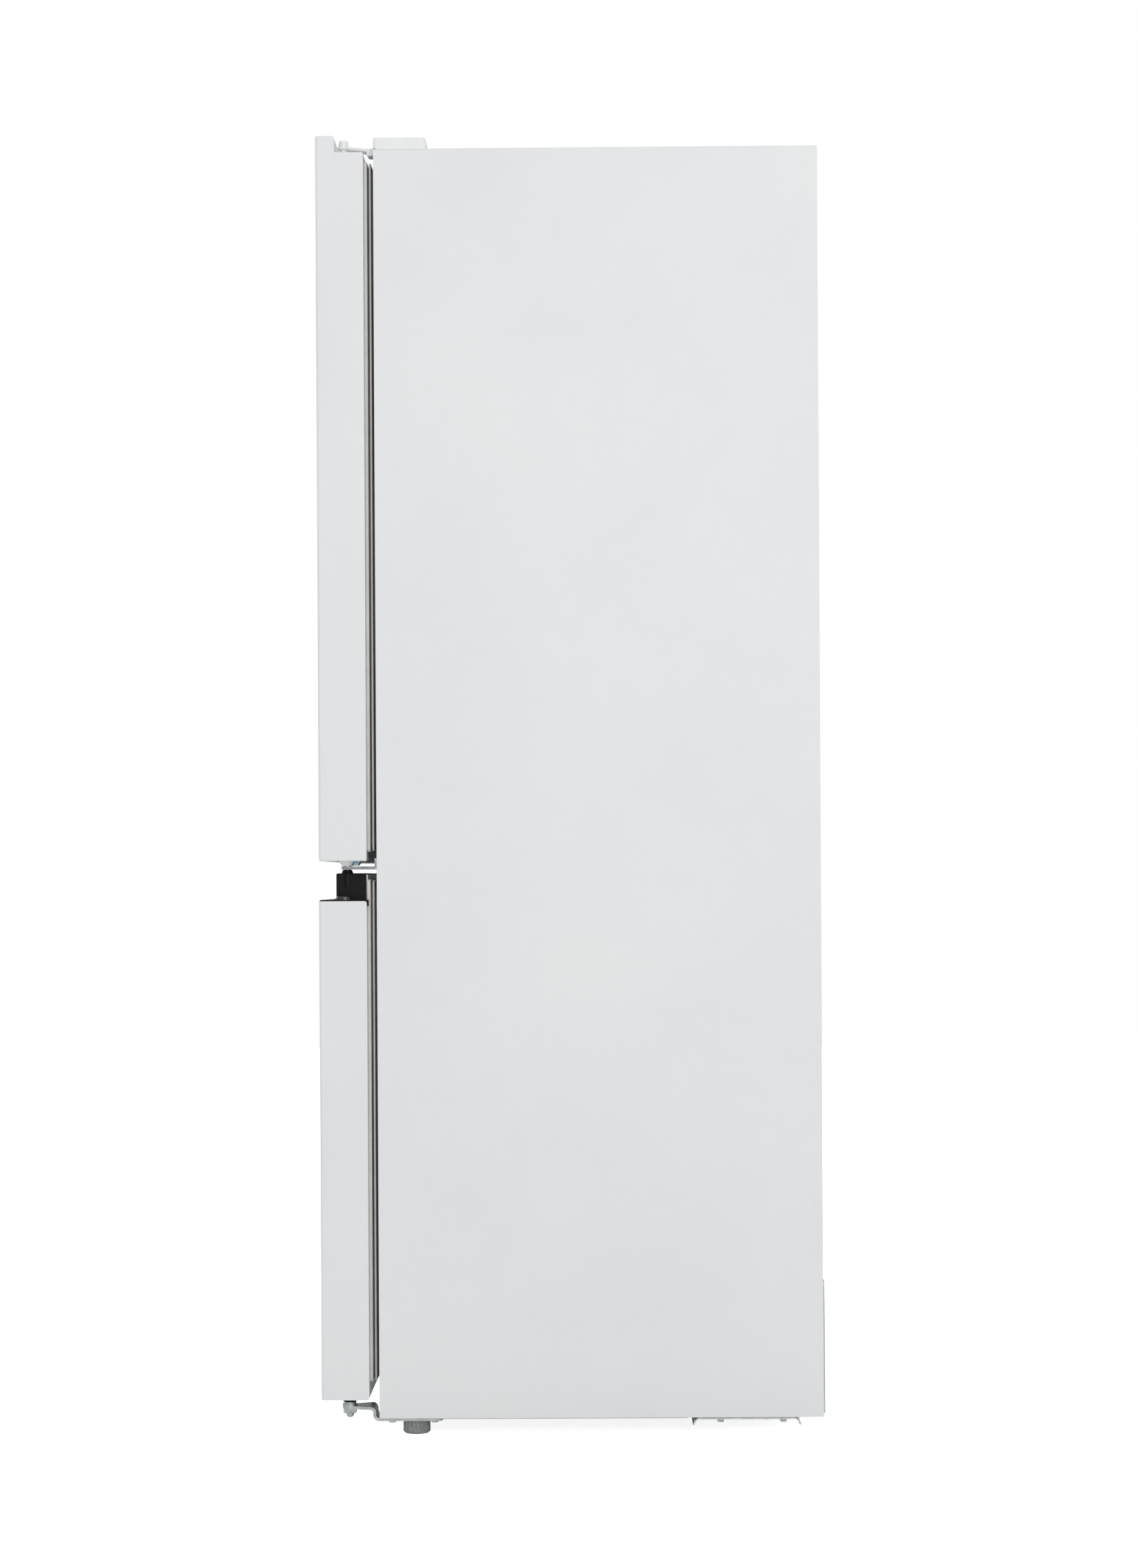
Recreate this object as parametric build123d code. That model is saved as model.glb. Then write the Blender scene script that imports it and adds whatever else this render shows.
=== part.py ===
"""Bottom-freezer refrigerator, built as separate pieces around one cabinet.

Millimetres. +X is the hinge side, -Y is the front, +Z is up, and the origin is under the middle of the
object, on the floor. Each function makes one piece in place, and the table at the end names them.
"""

import os
from math import cos, pi, sin

from build123d import *

# ---- driving dimensions ------------------------------------------------------------------------
width = 595
depth = 666
height = 1722
door_depth = 63.5  # front face to the folded rear edge of a door skin
door_gap = 13.5  # door rear edge to cabinet front, which the gasket fills
cabinet_bottom = 25
cabinet_top = 1705
sheet = 0.8  # steel sheet of the cabinet and the doors
liner_wall = 1.5

half = width / 2
front = -depth / 2
rear = depth / 2
door_rear = front + door_depth
cabinet_front = door_rear + door_gap
back_face = rear - 2  # the back panel; the machine cover stands 2 mm proud of it

# hinge line, shared by both doors
hinge_x = half - 24
hinge_y = front + 36

# front frame of the cabinet
return_width = 26  # folded front edge of the wrap
inner_half = half - 46  # half the width of both compartments
mullion_low = 728
mullion_high = 786
sill_high = 51  # top of the folded front of the bottom panel

# compartments
fridge_low = 790
fridge_high = 1657
fridge_back = 276
freezer_low = 88
freezer_high = 724
freezer_back = 271
hump_front = 100  # the freezer steps forward over the machine compartment
hump_high = 262
machine_front = 150
machine_high = 205

# upper door
upper_low = 762
upper_high = 1700
lip_depth = 25.2
# lower door
lower_low = 49
lower_high = 709
grip_high = 746  # top of the black grip rail
grip_half = half - 16
grip_front = front + 22

# feet and rollers
foot_x = half - 37
foot_y = cabinet_front + 47
foot_radius = 18
bracket_low = 20
bracket_thick = 4
roller_x = 178
roller_y = 262
roller_radius = 14
roller_width = 18

screw_shank = 2.2
screw_hole = 2.3


# ---- helpers -----------------------------------------------------------------------------------
def block(x0, x1, y0, y1, z0, z1):
    return Pos((x0 + x1) / 2, (y0 + y1) / 2, (z0 + z1) / 2) * Box(abs(x1 - x0), abs(y1 - y0), abs(z1 - z0))


def wide(half_x, y0, y1, z0, z1):
    """A block centred on the object's middle plane."""
    return block(-half_x, half_x, y0, y1, z0, z1)


def post(x, y, z0, z1, radius):
    return Pos(x, y, (z0 + z1) / 2) * Cylinder(radius, z1 - z0)


def cone(x, y, z0, z1, radius0, radius1):
    return Pos(x, y, (z0 + z1) / 2) * Cone(radius0, radius1, z1 - z0)


def rod_x(x0, x1, y, z, radius):
    return Pos((x0 + x1) / 2, y, z) * Rot(0, 90, 0) * Cylinder(radius, x1 - x0)


def rod_y(x, y0, y1, z, radius):
    return Pos(x, (y0 + y1) / 2, z) * Rot(90, 0, 0) * Cylinder(radius, y1 - y0)


def hexagon(x, y, z0, z1, across_flats):
    return Pos(x, y, z0) * extrude(RegularPolygon(across_flats / 2, 6, major_radius=False), z1 - z0)


def other_side(shape):
    return mirror(shape, about=Plane.YZ)


def side_profile(points, x0, x1):
    """Extrudes a closed outline of (y, z) points along X."""
    face = make_face(Polyline(*[(x0, y, z) for y, z in points], close=True))
    return extrude(face, amount=x1 - x0, dir=(1, 0, 0))


def rounded_profile(points, x0, x1, radii):
    """As side_profile, with a radius at each corner, 0 where it stays sharp."""
    solid = side_profile(points, x0, x1)
    for (y, z), radius in zip(points, radii):
        if radius:
            along = solid.edges().filter_by(Axis.X)
            corner = [e for e in along if abs(e.center().Y - y) + abs(e.center().Z - z) < 0.01]
            solid = fillet(corner, radius)
    return solid


def plan(points, z0, z1):
    """Extrudes a closed outline of (x, y) points up from z0 to z1."""
    face = make_face(Polyline(*[(x, y, z0) for x, y in points], close=True))
    return extrude(face, amount=z1 - z0, dir=(0, 0, 1))


def door_plan(inset, z0, z1, y1, radius=4):
    """A door's outline from above: rounded front corners, square at the rear."""
    body = block(-half + inset, half - inset, front + inset, y1, z0, z1)
    corners = body.edges().filter_by(Axis.Z).group_by(Axis.Y)[0]
    return fillet(corners, radius - inset)


def pan_screw(x, y, z, direction, length, radius=4.6, tall=2.2):
    """A pan-head screw whose head's underside is at (x, y, z) and whose shank points along direction."""
    head = Pos(0, 0, -tall / 2) * Cylinder(radius, tall)
    head = fillet(head.faces().sort_by(Axis.Z)[0].edges(), 0.55 * tall)
    slot = Pos(0, 0, -tall) * (Box(1.1 * radius, 1.1, tall) + Box(1.1, 1.1 * radius, tall))
    screw = head - slot + Pos(0, 0, length / 2) * Cylinder(screw_shank, length)
    return Location(Plane(origin=(x, y, z), z_dir=direction)) * screw


# ---- cabinet -----------------------------------------------------------------------------------
def cabinet_envelope(inset, y0, z0):
    """The cabinet's outside, or its inside when inset, with its two top edges bent round."""
    body = wide(half - inset, y0, back_face, z0, cabinet_top - inset)
    return fillet(body.edges().filter_by(Axis.Y).group_by(Axis.Z)[-1], 4 - inset)


def cabinet_shell():
    """One sheet wrapped over the two sides and the top, with folded front and rear edges."""
    low = cabinet_bottom
    shell = cabinet_envelope(0, cabinet_front, low) - cabinet_envelope(sheet, cabinet_front + sheet, low - 1)
    mouth_high = cabinet_top - return_width
    shell -= wide(half - return_width, cabinet_front, cabinet_front + sheet, low - 1, mouth_high)
    rear_fold = block(half - 15, half - sheet, back_face - sheet, back_face, low, machine_high)
    foot_fold = block(half - 28, half - sheet, machine_front + 2, back_face - sheet, low, low + sheet)
    for fold in (rear_fold, foot_fold):
        shell += fold
        shell += other_side(fold)
    for x, z in cover_screw_places():
        shell -= rod_y(x, back_face - 2, back_face + 1, z, screw_hole)
    for x, y in base_bolt_places():
        shell -= post(x, y, low - 1, low + 2, 4.1)
    for x, y in top_screw_places():
        shell -= post(x, y, cabinet_top - 2, cabinet_top + 1, screw_hole)
    return shell


def back_panel():
    """Flat rear sheet with four stiffening panels pressed outwards."""
    panel = cabinet_envelope(sheet, back_face - sheet, machine_high + sheet)
    field_low = machine_high + 70
    field_step = (cabinet_top - field_low - 50) / 4
    for i in range(4):
        low = field_low + i * field_step
        field = wide(half - 55, back_face, back_face + 1.2, low, low + field_step - 45)
        field = fillet(field.edges().filter_by(Axis.Y), 22)
        field = chamfer(field.faces().sort_by(Axis.Y)[-1].edges(), 1)
        panel += field
    return panel


def bottom_panel():
    """Bottom sheet, folded up at the front and stepped over the machine compartment."""
    panel = wide(half - sheet, cabinet_front + sheet, machine_front, cabinet_bottom - 1, cabinet_bottom)
    panel += wide(half - return_width, cabinet_front, cabinet_front + sheet, cabinet_bottom - 1, sill_high)
    panel += wide(half - sheet, machine_front, machine_front + 1, cabinet_bottom - 1, machine_high + sheet)
    panel += wide(half - sheet, machine_front, back_face, machine_high, machine_high + sheet)
    for side in (-1, 1):
        panel -= post(side * foot_x, foot_y, cabinet_bottom - 2, cabinet_bottom + 1, 6)
    for x, y in bracket_screw_places():
        panel -= post(x, y, cabinet_bottom - 2, cabinet_bottom + 1, screw_hole)
    return panel


def mullion_rail():
    """Steel channel across the front, between the two openings."""
    rail = wide(half - return_width, cabinet_front, cabinet_front + 21, mullion_low, mullion_high)
    rail -= wide(half, cabinet_front + sheet, cabinet_front + 22, mullion_low + sheet, mullion_high - sheet)
    for x, z in middle_screw_places():
        rail -= rod_y(x, cabinet_front - 1, cabinet_front + 2, z, screw_hole)
    return rail


def fridge_space(grow):
    """The fresh-food compartment, grown all round except at the front."""
    space = wide(inner_half + grow, cabinet_front, fridge_back + grow, fridge_low - grow, fridge_high + grow)
    back = space.faces().sort_by(Axis.Y)[-1]
    return fillet(space.edges().filter_by(Axis.Y) + back.edges(), 16 + grow)


def shelf_ledges(levels, y0, y1):
    """Moulded ledges on both side walls that the glass rests on."""
    ledges = []
    for z in levels:
        ledge = block(inner_half - 9, inner_half, y0, y1, z - 7, z)
        ledge = fillet(ledge.edges().filter_by(Axis.Y).group_by(Axis.X)[0], 2)
        ledges += [ledge, other_side(ledge)]
    return ledges


def liner_flange(z0, z1):
    return wide(half - return_width, cabinet_front, cabinet_front + liner_wall, z0, z1)


def fridge_liner():
    liner = fridge_space(liner_wall) + liner_flange(mullion_high, cabinet_top - return_width)
    liner -= fridge_space(0)
    for ledge in shelf_ledges(ledge_levels, shelf_front + 20, fridge_back - 22):
        liner += ledge
    return liner


def freezer_space(grow):
    """The freezer compartment, which steps over the machine compartment, grown all round but the front."""
    outline = [
        (cabinet_front, freezer_low - grow),
        (hump_front + grow, freezer_low - grow),
        (hump_front + grow, hump_high - grow),
        (freezer_back + grow, hump_high - grow),
        (freezer_back + grow, freezer_high + grow),
        (cabinet_front, freezer_high + grow),
    ]
    bend = 14
    radii = (0, bend + grow, bend - grow, bend + grow, bend + grow, 0)
    return rounded_profile(outline, -inner_half - grow, inner_half + grow, radii)


def freezer_liner():
    liner = freezer_space(liner_wall) + liner_flange(sill_high, mullion_low)
    liner -= freezer_space(0)
    for ledge in drawer_ledges():
        liner += ledge
    return liner


def cabinet_foam():
    """Insulation foamed between the sheet steel and the liners."""
    foam = cabinet_envelope(sheet, cabinet_front + sheet, cabinet_bottom) - back_panel()
    foam -= fridge_space(liner_wall)
    foam -= freezer_space(liner_wall)
    foam -= liner_flange(sill_high, cabinet_top - return_width)
    foam -= wide(half - return_width, cabinet_front, cabinet_front + 21, mullion_low, mullion_high)
    foam -= wide(half, machine_front, rear, cabinet_bottom - 1, machine_high + sheet)
    for side in (-1, 1):
        foam -= post(side * foot_x, foot_y, cabinet_bottom - 1, cabinet_bottom + 18, 6)
    for x, y in bracket_screw_places():
        foam -= post(x, y, cabinet_bottom - 1, cabinet_bottom + 12, 2.4)
    for x, y in top_screw_places():
        foam -= post(x, y, cabinet_top - 14, cabinet_top, 2.4)
    return foam - condenser_coil()


def condenser_coil():
    """Hot-wall condenser: one flat serpentine behind each side sheet, in the foam."""
    radius = 2.4
    runs = 8
    pitch = 60
    y_first = -220
    low, high = 320, 1640
    points = []
    for i in range(runs):
        y = y_first + i * pitch
        ends = (low, high) if i % 2 == 0 else (high, low)
        points += [(y, z) for z in ends]
    x = half - sheet - radius
    path = FilletPolyline(*[(x, y, z) for y, z in points], radius=pitch / 2 - 1)
    start = Plane(origin=path @ 0, z_dir=path % 0)
    coil = sweep(start * Circle(radius), path=path)
    return Compound([coil, other_side(coil)])


# ---- machine compartment -----------------------------------------------------------------------
base_low = 20.7
base_thick = 2
base_half = half - 9.5
base_front, base_rear = 168, 292  # where its flanges begin to curl down
curl = 9.5


def base_bolt_places():
    return [(side * (half - 18), y) for side in (-1, 1) for y in (195.5, 278.5)]


def compressor_base():
    """Mounting plate across the back, with both long edges curled down as stiffeners."""
    plate = wide(base_half, base_front, base_rear, base_low, base_low + base_thick)
    for y, sign in ((base_front, -1), (base_rear, 1)):
        ring = rod_x(-base_half, base_half, y, base_low + base_thick - curl, curl)
        ring -= rod_x(-base_half - 1, base_half + 1, y, base_low + base_thick - curl, curl - base_thick)
        axis_z = base_low + base_thick - curl
        quarter = wide(base_half + 1, y, y + sign * 2 * curl, axis_z, axis_z + 2 * curl)
        plate += ring & quarter
    for x, y in base_bolt_places():
        plate += cone(x, y, base_low + base_thick, cabinet_bottom, 10, 7.5)
        plate -= post(x, y, base_low - 1, cabinet_bottom + 1, 4.1)
    for side in (-1, 1):
        slot_half = roller_width / 2 + 2
        x = side * roller_x
        plate -= block(x - slot_half, x + slot_half, roller_y - 15, roller_y + 15, base_low - 1, base_low + 3)
    for x, y in grommet_places():
        plate -= post(x, y, base_low - 1, base_low + 3, 5)
    return plate


def compressor_bolts():
    """Four flanged hex bolts that hold the mounting plate under the cabinet."""
    bolts = []
    for x, y in base_bolt_places():
        bolt = hexagon(x, y, base_low - 4.6, base_low - 1.2, 8)
        bolt += post(x, y, base_low - 1.2, base_low, 6)
        bolt += post(x, y, base_low, cabinet_bottom + 9, 4)
        bolts.append(bolt)
    return Compound(bolts)


compressor_x = 50
compressor_y = 232


def grommet_places():
    return [(compressor_x + dx, compressor_y + dy) for dx in (-80, 80) for dy in (-38, 38)]


def compressor_grommets():
    grommets = []
    for x, y in grommet_places():
        base = base_low + base_thick
        grommet = post(x, y, base, base + 6, 11) + post(x, y, base + 6, base + 9, 7)
        grommet += post(x, y, base + 9, base + 12, 11) + post(x, y, base_low - 2, base, 4.9)
        grommets.append(grommet)
    return Compound(grommets)


def compressor():
    """Hermetic compressor: two pressed half shells, welded, on a pressed foot plate."""
    feet = base_low + base_thick + 12
    foot = block(compressor_x - 92, compressor_x + 92, compressor_y - 48, compressor_y + 48, feet, feet + 3)
    foot = fillet(foot.edges().filter_by(Axis.Z), 12)
    belly = Pos(compressor_x, compressor_y, feet + 3) * extrude(Ellipse(74, 62), 66)
    belly = fillet(belly.faces().sort_by(Axis.Z)[0].edges(), 8)
    weld = Pos(compressor_x, compressor_y, feet + 66) * extrude(Ellipse(77, 65), 6)
    dome = Pos(compressor_x, compressor_y, feet + 69) * extrude(Ellipse(74, 62), 72)
    dome = fillet(dome.faces().sort_by(Axis.Z)[-1].edges(), 36)
    return foot + belly + weld + dome


def relay_cover():
    """Terminal box clipped to the compressor's side."""
    x0 = compressor_x - 74 - 34
    cover = block(x0, compressor_x - 60, compressor_y - 30, compressor_y + 30, 62, 128)
    cover = fillet(cover.edges().filter_by(Axis.X), 6)
    cover = fillet(cover.faces().sort_by(Axis.X)[0].edges(), 4)
    return cover - Pos(compressor_x, compressor_y, 0) * extrude(Ellipse(77.3, 65.3), 200)


tray_low = 182


def drip_tray():
    """Evaporation tray above the compressor, which catches the defrost water."""
    x0, x1 = compressor_x - 82, compressor_x + 82
    y0, y1 = compressor_y - 62, compressor_y + 62
    tray = block(x0, x1, y0, y1, tray_low, machine_high - 2)
    tray = fillet(tray.edges().filter_by(Axis.Z), 14)
    well = block(x0 + 2, x1 - 2, y0 + 2, y1 - 2, tray_low + 2, machine_high)
    return tray - fillet(well.edges().filter_by(Axis.Z), 12)


def tube(points, radius, bend):
    path = FilletPolyline(*points, radius=bend)
    start = Plane(origin=path @ 0, z_dir=path % 0)
    return sweep(start * Circle(radius), path=path)


def refrigerant_tubes():
    """Suction, discharge and process tubes, and the filter drier with its two tails, in copper."""
    x, y = compressor_x, compressor_y
    right = x + 110
    suction = tube([(x + 60, y - 30, 60), (right, y - 30, 60), (right, y - 30, 190), (right, 158, 190)], 4, 14)
    discharge_path = [(x - 40, y + 40, 90), (-120, y + 40, 90), (-120, y + 40, 170), (-120, 165, 170)]
    discharge = tube(discharge_path, 2.5, 12)
    process = tube([(x + 60, y + 20, 90), (x + 100, y + 20, 90), (x + 100, y + 20, 150)], 3, 10)
    drier = rod_y(-170, 200, 290, 120, 9)
    drier = fillet(drier.edges(), 6)
    inlet = tube([(-170, 201, 120), (-170, 176, 120), (-225, 176, 120)], 2, 8)
    tail = tube([(-170, 289, 120), (-170, 310, 120), (-200, 310, 120), (-200, 310, 195)], 1.6, 7)
    shell = Pos(x, y, 0) * extrude(Ellipse(77.3, 65.3), 190)
    return Compound([suction - shell, discharge - shell, process - shell, drier + inlet + tail])


cover_half = half - 4
cover_low = 28


def cover_screw_places():
    return [(side * (half - 9), z) for side in (-1, 1) for z in (45, 185)]


def rear_cover():
    """Louvred cover over the machine compartment, standing proud of the back panel."""
    cover = wide(cover_half, back_face, rear, cover_low, machine_high)
    cover = fillet(cover.edges().filter_by(Axis.Y), 6)
    cover = chamfer(cover.faces().sort_by(Axis.Y)[-1].edges(), 0.8)
    slot_high = 6
    for row in range(7):
        z = 56 + row * 18
        for column in range(5):
            x = (column - 2) * 98
            slot = block(x - 40, x + 40, back_face - 1, rear + 1, z, z + slot_high)
            cover -= fillet(slot.edges().filter_by(Axis.Y), 2.9)
    for x, z in cover_screw_places():
        cover -= rod_y(x, back_face - 1, rear + 1, z, screw_hole) + rod_y(x, rear - 1.2, rear + 1, z, 3.6)
    cover -= rod_y(gland_x, back_face - 1, rear + 1, gland_z, 8)
    return cover


gland_x = -262
gland_z = 110


def cord_gland():
    """Strain-relief bush that the mains lead would leave through."""
    gland = rod_y(gland_x, back_face - 4, back_face, gland_z, 10)
    gland += rod_y(gland_x, back_face, rear, gland_z, 7.9)
    return gland - rod_y(gland_x, back_face - 5, rear + 1, gland_z, 3.6)


axle_radius = 3


def rear_roller_brackets():
    """Two forks under the mounting plate, each with a fixed axle pin."""
    parts = []
    for side in (-1, 1):
        x = side * roller_x
        inner, outer = roller_width / 2 + 0.6, roller_width / 2 + 2.6
        fork = None
        for sign in (-1, 1):
            x0, x1 = sorted((x + sign * inner, x + sign * outer))
            ear = block(x0, x1, roller_y - 12, roller_y + 12, 8, base_low)
            ear += rod_x(x0, x1, roller_y, roller_radius, 6)
            x2, x3 = sorted((x + sign * inner, x + sign * (outer + 9)))
            ear += block(x2, x3, roller_y - 14, roller_y + 14, base_low - 1.6, base_low)
            fork = ear if fork is None else fork + ear
        pin = rod_x(x - outer - 1.5, x + outer + 1.5, roller_y, roller_radius, axle_radius)
        parts.append(fork + pin)
    return Compound(parts)


def rear_roller(side):
    x = side * roller_x
    wheel = rod_x(x - roller_width / 2, x + roller_width / 2, roller_y, roller_radius, roller_radius)
    wheel = fillet(wheel.edges(), 1.5)
    return wheel - rod_x(x - roller_width, x + roller_width, roller_y, roller_radius, axle_radius + 0.06)


# ---- brackets, hinges and feet -------------------------------------------------------------------
arm_high = 38.5  # top of the bottom hinge's arm


def bracket_screw_places():
    rows = (cabinet_front + 16, cabinet_front + 72.5)
    return [(side * x, y) for side in (-1, 1) for x in (285, 232) for y in rows]


def bottom_brackets():
    """Pressed steel brackets of the two feet. The right one carries the lower door on a stepped arm."""
    step_y = cabinet_front - 9
    low, high = bracket_low, arm_high
    thick = bracket_thick
    plate = block(half - 80, half - 8, cabinet_front + 4, cabinet_front + 83, low, low + thick)
    plate = chamfer(plate.edges().filter_by(Axis.Z).group_by(Axis.Y)[-1], 4)
    outline = [
        (cabinet_front + 20, low),
        (step_y, low),
        (step_y, high - thick),
        (hinge_y - 14, high - thick),
        (hinge_y - 14, high),
        (step_y + thick, high),
        (step_y + thick, low + thick),
        (cabinet_front + 20, low + thick),
    ]
    arm = rounded_profile(outline, hinge_x - 22, half - 8, (0, 8, 4, 0, 0, 8, 4, 0))
    tip = [(hinge_x - 22, step_y), (hinge_x - 9, hinge_y), (hinge_x + 9, hinge_y), (half - 8, step_y)]
    reach = plan(tip, low, high) + post(hinge_x, hinge_y, low, high, 10)
    reach += block(hinge_x - 22, half - 8, step_y, 0, low, high)
    brackets = plate + (arm & reach) - post(hinge_x, hinge_y, low, high + 1, 5)
    brackets = Part() + brackets + other_side(plate)
    for side in (-1, 1):
        brackets -= post(side * foot_x, foot_y, low - 1, cabinet_bottom, 4.06)
    for x, y in bracket_screw_places():
        brackets -= post(x, y, low - 1, cabinet_bottom, screw_hole)
    return brackets


def hinge_pins():
    """The riveted middle pin and the bottom pin with its collar, nut and pointed thread end."""
    middle = post(hinge_x, hinge_y, 732, 776, 4)
    middle += post(hinge_x, hinge_y, middle_plate_high, middle_plate_high + 0.6, 6.5)
    bottom = post(hinge_x, hinge_y, 25.5, 62, 5) + cone(hinge_x, hinge_y, 23, 25.5, 3.2, 5)
    bottom += post(hinge_x, hinge_y, arm_high, arm_high + 2, 10)
    bottom += post(hinge_x, hinge_y, arm_high + 2, arm_high + 4.5, 8)
    nut = hexagon(hinge_x, hinge_y, arm_high - bracket_thick - 6, arm_high - bracket_thick, 17)
    nut = chamfer(nut.faces().sort_by(Axis.Z)[0].edges(), 1)
    return Compound([middle, bottom + nut])


def levelling_foot(side):
    """Fluted foot moulded on its threaded stud."""
    x = side * foot_x
    top = bracket_low - 2
    foot = cone(x, foot_y, 0, 2, foot_radius - 2, foot_radius) + post(x, foot_y, 2, top, foot_radius)
    flutes = 18
    for i in range(flutes):
        turn = 2 * pi * i / flutes
        reach = foot_radius + 0.9
        foot -= post(x + reach * cos(turn), foot_y + reach * sin(turn), 3.5, top + 1, 2)
    return foot + post(x, foot_y, top, 40, 4)


middle_plate_low = 751
middle_plate_high = 755


def middle_screw_places():
    return [(hinge_x - inset, 760) for inset in (38, 28, 18)]


def middle_hinge_plate():
    """Angle plate screwed to the mullion, between the doors, with the pin's eye at its end."""
    flange_front = cabinet_front - 3.5
    flange = block(hinge_x - 42, half - 9, flange_front, cabinet_front, middle_plate_low, 767)
    flange = fillet(flange.edges().filter_by(Axis.Y).group_by(Axis.Z)[-1], 4)
    leaf = plan(
        [
            (hinge_x - 30, flange_front),
            (hinge_x - 8, hinge_y),
            (hinge_x + 8, hinge_y),
            (half - 9, flange_front),
        ],
        middle_plate_low,
        middle_plate_high,
    )
    leaf += post(hinge_x, hinge_y, middle_plate_low, middle_plate_high, 8)
    plate = flange + leaf
    for x, z in middle_screw_places():
        plate -= rod_y(x, flange_front - 1, cabinet_front + 1, z, screw_hole)
    return plate - post(hinge_x, hinge_y, middle_plate_low - 1, 768, 4)


hinge_arm_low = 1709
hinge_arm_high = 1712.5
top_plate_back = cabinet_front + 58


def top_screw_places():
    return [(hinge_x + dx, cabinet_front + dy) for dx, dy in ((-38, 18), (-6, 18), (-22, 44))]


def top_hinge_plate():
    """White top hinge: a plate on the cabinet, a cranked arm over the gap and the pin with its domed head."""
    plate_high = cabinet_top + 3.5
    plate = block(hinge_x - 52, hinge_x + 10, cabinet_front + 2, top_plate_back, cabinet_top, plate_high)
    plate = fillet(plate.edges().filter_by(Axis.Z), 6)
    arm = plan(
        [
            (hinge_x - 3, hinge_y - 7.5),
            (hinge_x + 7.4, hinge_y - 3),
            (hinge_x - 6, hinge_y + 27),
            (hinge_x - 6, cabinet_front + 8),
            (hinge_x - 28, cabinet_front + 8),
            (hinge_x - 28, cabinet_front - 6),
            (hinge_x - 7.6, hinge_y + 3),
        ],
        hinge_arm_low,
        hinge_arm_high,
    )
    arm += post(hinge_x, hinge_y, hinge_arm_low, hinge_arm_high, 8)
    crank_back = cabinet_front + 8
    crank = block(hinge_x - 28, hinge_x - 6, cabinet_front + 2, crank_back, cabinet_top, hinge_arm_high)
    lug_low = cabinet_top - 2.2
    lug = block(hinge_x - 24, hinge_x - 6, cabinet_front - 11, cabinet_front - 0.6, lug_low, hinge_arm_low)
    lug = fillet(lug.edges().filter_by(Axis.X).group_by(Axis.Z)[0], 4)
    head = post(hinge_x, hinge_y, hinge_arm_high, height - 1, 6.4)
    head = fillet(head.faces().sort_by(Axis.Z)[-1].edges(), 2.4)
    hinge = plate + arm + crank + lug + head + post(hinge_x, hinge_y, 1684, hinge_arm_low, 5)
    for x, y in top_screw_places():
        hinge -= post(x, y, cabinet_top - 1, cabinet_top + 4, screw_hole)
    return hinge


def top_hinge_cover():
    """Moulded cover over the hinge plate, flush with the side, open below and where the arm leaves."""
    x0, x1 = hinge_x - 62, half - 0.4
    y0, y1 = cabinet_front, cabinet_front + 69.4
    low, high = cabinet_top - 2.4, height - 2.4
    cover = block(x0, x1, y0, y1, low, high)
    cover = fillet(cover.edges().filter_by(Axis.Z), 4)
    cover = fillet(cover.faces().sort_by(Axis.Z)[-1].edges(), 2.5)
    cover -= block(x0 + 2, x1 - 2, y0 + 1.8, y1 - 2, low - 1, high - 2)
    cover -= block(hinge_x - 30, hinge_x + 4, y0 - 1, y0 + 3, low - 1, hinge_arm_high + 1.5)
    cover -= side_profile([(y0 - 1, low - 1), (y0 - 1, low + 5), (y0 + 8, low - 1)], x0 - 1, x1 + 1)
    cover -= block(half - 2, half, y0 - 1, y1 + 1, low - 1, low + 0.9)
    return cover - cabinet_envelope(0, cabinet_front, cabinet_bottom)


def screws():
    """Every pan-head screw of the hinges, the foot brackets and the machine cover."""
    found = [pan_screw(x, y, bracket_low, (0, 0, 1), length=14) for x, y in bracket_screw_places()]
    found += [pan_screw(x, cabinet_front - 3.5, z, (0, 1, 0), length=12) for x, z in middle_screw_places()]
    found += [pan_screw(x, y, cabinet_top + 3.5, (0, 0, -1), length=12) for x, y in top_screw_places()]
    for x, z in cover_screw_places():
        found.append(pan_screw(x, rear - 1.2, z, (0, -1, 0), length=8, radius=3.4, tall=1.2))
    return Compound(found)


# ---- fresh-food compartment ------------------------------------------------------------------------
shelf_front = -150
shelf_back = 236
shelf_glass = 4
ledge_levels = (1020, 1150, 1290, 1430)
glass_levels = (1020, 1290, 1430)


def glass_shelves():
    """Three identical panes; the lowest covers the crisper."""
    panes = []
    for z in glass_levels:
        pane = wide(inner_half - 2, shelf_front, shelf_back, z, z + shelf_glass)
        panes.append(chamfer(pane.edges().filter_by(Axis.Z), 3))
    return Compound(panes)


def shelf_trims():
    """Front edge mouldings of the panes, with a raised stop along each one's back."""
    trims = []
    for z in glass_levels:
        trim = wide(inner_half - 2, shelf_front - 9, shelf_front, z - 6, z + 9)
        trim = fillet(trim.edges().filter_by(Axis.X).group_by(Axis.Y)[0], 4)
        stop = wide(inner_half - 10, shelf_back, shelf_back + 5, z - 2, z + 16)
        trims += [trim, fillet(stop.edges().filter_by(Axis.X).group_by(Axis.Z)[-1], 2)]
    return Compound(trims)


def tub(half_x, y0, y1, z0, z1, radius):
    """A block with its upright and bottom edges rounded."""
    body = wide(half_x, y0, y1, z0, z1)
    return fillet(body.edges().filter_by(Axis.Z) + body.faces().sort_by(Axis.Z)[0].edges(), radius)


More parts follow.
